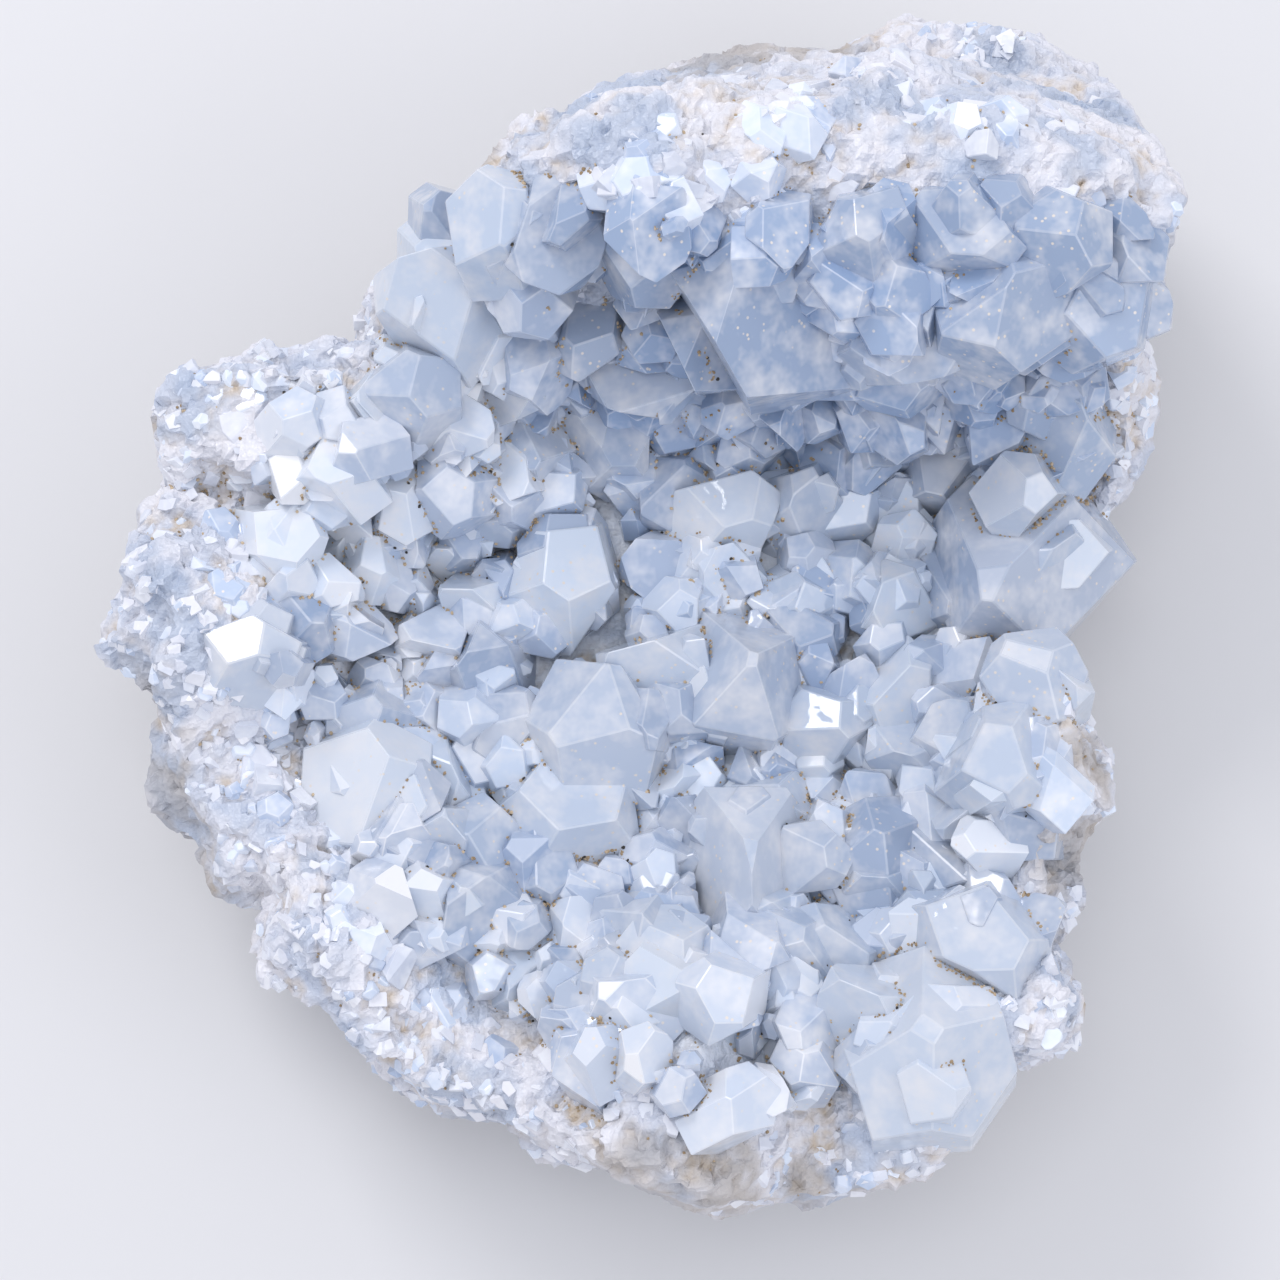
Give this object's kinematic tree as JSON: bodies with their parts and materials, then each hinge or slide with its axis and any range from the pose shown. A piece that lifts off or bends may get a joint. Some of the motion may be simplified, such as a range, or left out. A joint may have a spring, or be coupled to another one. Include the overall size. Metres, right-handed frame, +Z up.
{
  "type": "celestite crystal",
  "caption": "Broken piece of a celestite geode lying on a small flat spot, its bowl and tall back lobe lined with pale blue blocky crystals grown together",
  "frame": {"origin": "The middle of the box around the whole piece in plan, at the height of the flat spot it rests on", "axes": "Z up; X to the right and Y towards the tall lobe, as the picture shows the piece from above"},
  "size_m": [0.1084, 0.1256, 0.0635],
  "materials": {
    "wall": "sugary broken rock",
    "crystals": "milky glassy crystal faces"
  },
  "bodies": {
    "root": {"geode_wall": "wall", "crystal_crust": "crystals"}
  },
  "joints": []
}
